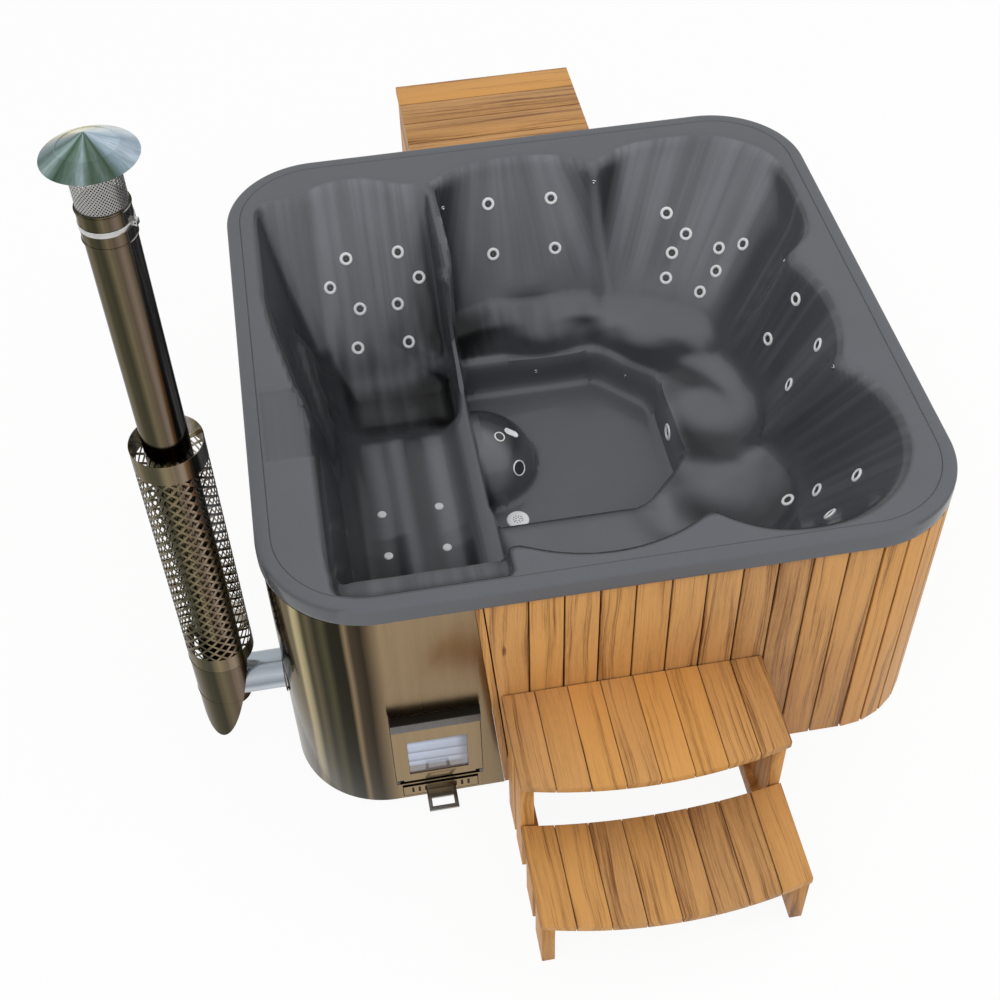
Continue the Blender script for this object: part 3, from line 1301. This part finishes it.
class TUB_OT_fittings(bpy.types.Operator):
    """Makes leg discs, air fittings, the wall jet, the dome covers and the floor drain"""
    bl_idname = "tub.fittings"
    bl_label = "Small fittings"

    def execute(self, context):
        leg_places = [onto_basin((x, y, 490), (0, 0, 1)) for x in LEG_X for y in LEG_JET_Y]
        disc = fitting("leg_disc", [(0, 5.0), (4, 4.9), (10.5, 4.4), (13.4, 3.2), (14.8, 1.2), (15.0, 0.0),
                                    (8.0, 0.0), (8.0, -24), (5.5, -24), (5.5, 0.4), (0, 0.4)], 32, 0.3)
        dress(smooth(spread_copies("leg_discs", disc, leg_places)), "leg_disc", TUB, ("leg_jets",))
        a, b = Vector(WELL[3]), Vector(WELL[4])
        mid = (a + b) / 2
        out = Vector((-(b.y - a.y), b.x - a.x)).normalized()
        air_places = [sighted(p) for p in AIR_SIGHTS]
        air_places.append(onto_basin((-10, WELL[4][1] - 2, WALL_AIR_Z), (0, -1, 0)))
        air_places.append(onto_basin((mid.x, mid.y, WALL_AIR_Z), (out.x, out.y, 0)))
        air = fitting("air_fitting", [(0, 1.1), (2.4, 1.2), (3.2, 2.2), (6.2, 2.3), (7.6, 1.4), (8.0, 0.0),
                                      (5.0, 0.0), (5.0, -17), (3.5, -17), (3.5, -1.0), (0, -1.0)], 24, 0.25)
        dress(smooth(spread_copies("air_points", air, air_places)), "chrome", TUB, ("air_fittings",))
        spot = [onto_basin((WELL[2][0] - 4, WALL_JET_Y, WALL_JET_Z), (-1, 0, 0))]
        ring = fitting("wall_ring", [(30, 0), (29.6, 2.6), (26, 4.6), (21.5, 4.6), (19, 3.0), (14.5, 0.4),
                                     (12.5, -3), (12.5, -38), (20, -38), (20, 0), (30, 0)], 40, 0.5)
        ball = fitting("wall_ball", [(4.5, 1.0), (8.0, 0.6), (10.5, -1.5), (12.0, -5), (12.4, -9),
                                     (4.5, -9)], 32)
        dress(smooth(spread_copies("wall_jet_ring", ring, spot)), "jet_face", TUB, ("wall_jet",))
        dress(smooth(spread_copies("wall_jet_ball", ball, spot)), "jet_dark", TUB)
        self.dome()
        self.drain()
        return {"FINISHED"}

    def grille(self, name, radius, thickness, holes, hole_r):
        """A domed disc with round holes and a stub behind."""
        outer, inner = radius * 0.55, radius * 0.45
        disc = fitting(name, [(0, thickness + 0.6), (radius * 0.5, thickness + 0.4), (radius - 3, thickness),
                              (radius - 0.6, 1.4), (radius, 0.0), (outer, 0.0), (outer, -22), (inner, -22),
                              (inner, -1.0), (0, -1.0)], 40, 0.4)
        cutters = []
        for x, y in holes:
            bpy.ops.object.select_all(action="DESELECT")
            bpy.ops.mesh.primitive_cylinder_add(vertices=14, radius=hole_r * MM, depth=0.02,
                                                location=(x * MM, y * MM, 0))
            cutters.append(settle(made("hole")))
        tool = joined("holes", cutters)
        cut = disc.modifiers.new("holes", "BOOLEAN")
        cut.operation = "DIFFERENCE"
        cut.solver = "EXACT"
        cut.object = tool
        apply_modifiers(disc)
        discard(tool)
        return disc

    def dome(self):
        rings, discs = [], []
        for number, (bearing, lift, r) in enumerate(DOME_PORTS):
            holes = hole_ring(0.62 * r, 8) + [(0, 0)]
            disc = self.grille("dome_grille%d" % number, r - 4.4, 1.6, holes, 0.09 * r)
            ring = fitting("dome_ring%d" % number, [(r, 0), (r - 0.4, 2.4), (r - 2.2, 3.8), (r - 4.2, 3.2),
                                                    (r - 4.6, 1.6), (r - 4.6, 0), (r, 0)], 40, 0.3)
            spot = [onto_basin(*dome_place(bearing, lift))]
            rings.append(spread_copies("dome_rings%d" % number, ring, spot))
            discs.append(spread_copies("dome_discs%d" % number, disc, spot, 0.0002))
        dress(smooth(joined("dome_discs", discs), 30), "jet_dark", TUB)
        bpy.ops.object.select_all(action="DESELECT")
        bpy.ops.mesh.primitive_cylinder_add(vertices=40, radius=0.013, depth=0.0034,
                                            location=(0, 0, 0.0017))
        slot = settle(made("slot"))
        for v in slot.data.vertices:
            v.co.y += 0.014 if v.co.y > 0 else -0.014
        only(slot)
        bpy.ops.object.mode_set(mode="EDIT")
        bpy.ops.mesh.select_all(action="DESELECT")
        bpy.ops.object.mode_set(mode="OBJECT")
        top = max(slot.data.polygons, key=lambda q: q.center.z)
        top.select = True
        bpy.ops.object.mode_set(mode="EDIT")
        bpy.ops.mesh.inset(thickness=0.0065)
        bpy.ops.mesh.extrude_region_move(TRANSFORM_OT_translate={"value": (0, 0, -0.0022)})
        bpy.ops.object.mode_set(mode="OBJECT")
        slot = bevelled(slot, 0.0008, 2, 40)
        p, n = onto_basin(*dome_place(*DOME_SLOT))
        slot = spread_copies("slot_cover", slot, [(p, n)])
        dress(smooth(joined("dome_fittings", rings + [slot]), 30), "jet_face", TUB, ("dome_covers",))

    def drain(self):
        lid = self.grille("drain_grille", 38, 4.0, hole_ring(15, 10) + hole_ring(7.5, 5), 2.6)
        place = onto_basin((-187, -237, 352), (0, 0, 1))
        dress(smooth(spread_copies("drain_cover", lid, [place]), 30), "jet_face", TUB, ("floor_drain",))


class TUB_OT_boards(bpy.types.Operator):
    """Makes the wall boards and the leaning edge strip"""
    bl_idname = "tub.boards"
    bl_label = "Wall boards"

    def execute(self, context):
        boards_of("cladding", "wall_boards", TUB, 11, along=2)
        boards_of("edge_strip", "leaning_strip", TUB, 12, along=2)
        return {"FINISHED"}


class TUB_OT_steps(bpy.types.Operator):
    """Makes the free-standing steps"""
    bl_idname = "tub.steps"
    bl_label = "Steps"

    def execute(self, context):
        boards_of("upper_tread", "upper_step", TUB, 21, along=1)
        boards_of("lower_tread", "lower_step", TUB, 22, along=1)
        boards_of("stair_legs", "step_legs", TUB, 23, along=2, width=0.0025)
        boards_of("stair_bearers", "step_bearers", TUB, 24, along=0)
        return {"FINISHED"}


class TUB_OT_box(bpy.types.Operator):
    """Makes the wooden box behind the tub with its lid"""
    bl_idname = "tub.box"
    bl_label = "Rear box"

    def execute(self, context):
        boards_of("box_boards", "box_walls", TUB, 31)
        boards_of("lid_boards", "box_top", "box_lid", 32, along=0)
        boards_of("lid_battens", "top_battens", "box_lid", 33, along=1)
        boards_of("box_frame", "box_posts", TUB, 34, along=2)
        eased("lid_hinges", "hinge_straps", "box_lid", "bright_steel", 0.0004)
        eased("lid_pins", "hinge_pins", TUB, "bright_steel", 0.0004)
        return {"FINISHED"}


class TUB_OT_stove(bpy.types.Operator):
    """Makes the steel jacket, the fire door and the ash drawer"""
    bl_idname = "tub.stove"
    bl_label = "Stove front"

    def execute(self, context):
        eased("steel_jacket", "corner_jacket", TUB, "jacket_steel", 0.0005, 2)
        eased("door_panel", "fire_door_skin", "fire_door", "door_steel", 0.0005)
        eased("door_glass", "fire_window", "fire_door", "door_window", 0.0006)
        eased("glass_frame", "window_frame", "fire_door", "black_iron", 0.0006)
        eased("grip_bar", "door_grip", "fire_door", "grip_steel", 0.0008, 3)
        eased("ash_front", "drawer_front", "ash_drawer", "door_steel", 0.0005)
        eased("drawer_handle", "drawer_loop", "ash_drawer", "plate_steel", 0.0012, 3)
        eased("ash_tray", "drawer_tray", "ash_drawer", "black_iron", 0.0005)
        return {"FINISHED"}


def diamond_net(columns, rows, z0, z1, radius, strand):
    """A tube of crossing strands: flat diamonds inset and emptied, then wrapped round the axis."""
    width = 2 * math.pi * radius
    dx, dz = width / columns / 2, (z1 - z0) / rows / 2
    reach = math.hypot(dx, dz) * strand / 2
    verts, quads = [], []
    for j in range(1, 2 * rows):
        for i in range(2 * columns):
            if (i + j) % 2 == 0:
                continue
            cx, cz = i * dx, z0 + j * dz
            base = len(verts)
            for wide, tall in ((dx, dz), (dx - reach / dz, dz - reach / dx)):
                corners = [(cx - wide, cz), (cx, cz - tall), (cx + wide, cz), (cx, cz + tall)]
                for a, b in zip(corners, corners[1:] + corners[:1]):
                    verts += [(a[0], 0.0, a[1]), ((a[0] + b[0]) / 2, 0.0, (a[1] + b[1]) / 2)]
            for k in range(8):
                n = (k + 1) % 8
                quads.append((base + k, base + n, base + 8 + n, base + 8 + k))
    return verts, quads


class TUB_OT_flue(bpy.types.Operator):
    """Makes the flue: elbow, sleeve, pipe, heat guard, collar, mesh and cap"""
    bl_idname = "tub.flue"
    bl_label = "Flue"

    def execute(self, context):
        eased("flue_elbow", "branch_pipe", TUB, "branch_steel", 0)
        eased("elbow_shield", "guard_sleeve", TUB, "pipe_steel", 0)
        eased("flue_pipe", "tall_pipe", TUB, "pipe_steel", 0)
        eased("pipe_collar", "top_collar", TUB, "pipe_steel", 0)
        eased("collar_clamp", "clamp_band", TUB, "bright_steel", 0.0004)
        eased("flue_flange", "wall_flange", TUB, "jacket_steel", 0.0004)
        self.guard(context.scene.tub_flue)
        self.mesh()
        self.cap()
        return {"FINISHED"}

    def wrap(self, obj, radius, axis):
        """Bends a sheet in the XZ plane round the vertical axis."""
        for v in obj.data.vertices:
            a = v.co.x / radius
            r = radius + v.co.y
            v.co = (axis.x + r * math.cos(a), axis.y + r * math.sin(a), v.co.z)
        return obj

    def net(self, name, columns, rows, z0, z1, radius, strand, sheet):
        verts, quads = diamond_net(columns, rows, z0, z1, radius, strand)
        mesh = bpy.data.meshes.new(name)
        mesh.from_pydata(verts, [], quads)
        obj = outward(self.wrap(linked(name, mesh), radius, FLUE), 0.00003)
        if sum((f.center.xy - FLUE.xy).dot(f.normal.xy) for f in obj.data.polygons) < 0:
            obj.data.flip_normals()
        wall = obj.modifiers.new("wall", "SOLIDIFY")
        wall.thickness = sheet
        wall.offset = -1
        return apply_modifiers(obj)

    def guard(self, flue):
        r = GUARD_HI.x - FLUE.x
        top, low = GUARD_HI.z, GUARD_LO.z
        z0, z1 = low + 0.036, top - 0.048
        net = self.net("guard_net", flue.columns, flue.rows, z0, z1, r - 0.0002, flue.strand, flue.sheet)
        dz = (z1 - z0) / flue.rows / 2
        bands = []
        for name, a, b in (("guard_top", z1 - dz * 1.02, top), ("guard_foot", low, z0 + dz * 1.02)):
            bands.append(turned(name, [(r - 0.0018, a), (r, a), (r, b - 0.0004), (r - 0.0004, b),
                                       (r - 0.0014, b), (r - 0.0018, b - 0.0004)], 96, FLUE_FOOT))
        inner = PIPE_HI.x - FLUE.x
        stays = [bar("stay", (r - inner - 0.001, 0.012, 0.002), ((r + inner) / 2 - 0.0003, 0, z),
                     math.radians(a), 0.0004, FLUE_FOOT)
                 for z in (low + 0.024, top - 0.030) for a in (30, 150, 270)]
        obj = joined("perforated_guard", [net] + bands + stays)
        dress(smooth(obj, 30), "guard_steel", TUB, ("heat_guard",))

    def mesh(self):
        lo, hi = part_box("spark_mesh")
        r = hi.x - FLUE.x
        z0, z1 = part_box("pipe_collar")[1].z - 0.004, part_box("rain_cap")[0].z + 0.074
        net = self.net("spark_net", 46, 16, z0, z1 - 0.002, r - 0.0001, 0.0026, 0.0008)
        bands = []
        for name, a, b in (("mesh_foot", lo.z, z0 + 0.004), ("mesh_head", z1 - 0.005, z1)):
            bands.append(turned(name, [(r - 0.0009, a), (r, a), (r, b), (r - 0.0009, b)], 64, FLUE_FOOT))
        dress(smooth(joined("spark_net", [net] + bands), 30), "mesh_steel", TUB, ("spark_mesh",))

    def cap(self):
        r = CAP_HI.x - FLUE.x
        base = CAP_HI.z - CAP_HEIGHT
        fold = 0.066
        profile = [(0.0, CAP_HEIGHT), (0.004, 0.0562), (0.030, 0.0428), (fold - 0.0016, 0.0262),
                   (fold, 0.0268), (fold + 0.0016, 0.0262), (fold + 0.003, 0.0240), (0.088, 0.0135),
                   (r - 0.002, 0.0022), (r - 0.0004, 0.0014), (r, 0.0006), (r - 0.0006, 0.0),
                   (r - 0.003, 0.0004), (0.086, 0.0116), (fold, 0.0238), (0.030, 0.0406), (0.0, 0.0556)]
        cone = turned("cap_cone", profile, 96, (FLUE.x, FLUE.y, base), closed=False)
        stays = [bar("cap_stay", (0.002, 0.014, 0.0785), (PIPE_HI.x - FLUE.x - 0.0046, 0, base - 0.0110),
                     math.radians(a), 0.0004, FLUE_FOOT)
                 for a in (60, 180, 300)]
        dress(smooth(joined("rain_cone", [cone] + stays), 25), "cap_steel", TUB, ("rain_cap",))


HIDDEN = {
    "frame_wood": ["base_beams", "posts", "ring_formers", "rim_rails", "shell_bearers"],
    "sheet_wood": ["floor_panel", "box_floor"],
    "galvanised": ["water_tank"],
    "black_iron": ["fire_chamber", "fire_grate"],
    "bright_steel": ["heater_pipes", "door_pins", "stair_screws"],
    "white_pipe": ["suction_pipe", "pressure_pipe", "drain_pipe"],
    "grey_plastic": ["air_pipe", "control_box"],
    "dark_plastic": ["pump_wet_end", "air_blower"],
    "motor_paint": ["pump_motor"],
    "brass": ["drain_valve"],
    "lever_red": ["valve_lever"],
}


class TUB_OT_inside(bpy.types.Operator):
    """Gives the inner frame, stove and water parts their finishes"""
    bl_idname = "tub.inside"
    bl_label = "Inner parts"

    def execute(self, context):
        for material, nodes in HIDDEN.items():
            for node in nodes:
                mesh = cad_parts[node].data
                mesh.materials.clear()
                mesh.materials.append(finish(material))
        return {"FINISHED"}


class TUB_OT_stage(bpy.types.Operator):
    """Makes the floor, the light and the camera"""
    bl_idname = "tub.stage"
    bl_label = "Stage"

    def execute(self, context):
        scene = context.scene
        scene.view_settings.view_transform = "Standard"
        bpy.ops.object.select_all(action="DESELECT")
        bpy.ops.mesh.primitive_plane_add(size=60, location=(0, 0, 0))
        floor = settle(made("studio_floor"))
        floor.data.materials.append(self.floor_finish())
        world = bpy.data.worlds.new("studio")
        scene.world = world
        world.use_nodes = True
        sky = Finish("sky", world.node_tree)
        plain = sky.node("Background", {}, {"Color": (1, 1, 1, 1), "Strength": 0.76})
        shown = sky.node("Background", {}, {"Color": (1, 1, 1, 1), "Strength": 1.0})
        mix = sky.node("MixShader", {}, {0: sky.seen(), 1: plain, 2: shown})
        sky.node("OutputWorld", {}, {"Surface": mix})
        self.lamp("key", (-1.6, -3.2, 5.2), (0.1, 0.2, 0.6), 2.4, 62)
        self.lamp("fill", (4.2, -1.2, 3.6), (0.0, 0.0, 0.6), 2.2, 34)
        self.camera(scene)
        return {"FINISHED"}

    def lamp(self, name, place, target, size, power):
        light = bpy.data.lights.new(name, "AREA")
        light.shape = "SQUARE"
        light.size = size
        light.energy = power
        obj = linked(name, light)
        obj.visible_glossy = False
        obj.location = place
        obj.rotation_euler = (Vector(target) - Vector(place)).to_track_quat("-Z", "Y").to_euler()

    def floor_finish(self):
        f = Finish("studio_floor")
        diffuse = f.node("BsdfDiffuse", {}, {"Color": (0.94, 0.94, 0.94, 1)})
        glow = f.node("Emission", {}, {"Color": (1, 1, 1, 1), "Strength": 1.0})
        mixed = f.node("MixShader", {}, {0: f.seen() * 0.93, 1: diffuse, 2: glow})
        f.node("OutputMaterial", {}, {"Surface": mixed})
        return f.material

    def camera(self, scene):
        data = bpy.data.cameras.new("camera")
        data.sensor_width = 36
        data.lens = 54.4436
        data.clip_end = 100
        camera = linked("camera", data)
        right = Vector((0.98482835, -0.17211509, -0.02212500))
        down = Vector((-0.14281022, -0.73143388, -0.66679062))
        ahead = Vector((0.09858175, 0.65983398, -0.74491661))
        turn = Matrix((right, -down, -ahead)).transposed().to_4x4()
        camera.matrix_world = Matrix.Translation(EYE) @ turn
        scene.camera = camera


class TUB_PT_panel(bpy.types.Panel):
    """Lists the sizes and the steps that make the tub"""
    bl_idname = "TUB_PT_panel"
    bl_label = "Hot tub"
    bl_space_type = "VIEW_3D"
    bl_region_type = "UI"
    bl_category = "Hot tub"

    def draw(self, context):
        for title, kind in GROUPS.items():
            box = self.layout.box()
            for name in kind.__annotations__:
                box.prop(getattr(context.scene, title), name)
        for step in STEPS:
            self.layout.operator(step.bl_idname)


STEPS = (TUB_OT_stage, TUB_OT_shell, TUB_OT_jets, TUB_OT_fittings, TUB_OT_boards, TUB_OT_steps, TUB_OT_box,
         TUB_OT_stove, TUB_OT_flue, TUB_OT_inside)
GROUPS = {"tub_shell": ShellSizes, "tub_boards": BoardSizes, "tub_flue": FlueSizes}


def register():
    for group in GROUPS.values():
        bpy.utils.register_class(group)
    for name, group in GROUPS.items():
        setattr(bpy.types.Scene, name, PointerProperty(type=group))
    for item in STEPS + (TUB_PT_panel,):
        bpy.utils.register_class(item)


def unregister():
    for item in reversed(STEPS + (TUB_PT_panel,)):
        bpy.utils.unregister_class(item)
    for name in GROUPS:
        delattr(bpy.types.Scene, name)
    for group in GROUPS.values():
        bpy.utils.unregister_class(group)


def main():
    register()
    bpy.ops.object.select_all(action="DESELECT")
    for step in STEPS:
        area, name = step.bl_idname.split(".")
        getattr(getattr(bpy.ops, area), name)()


if __name__ == "__main__":
    main()
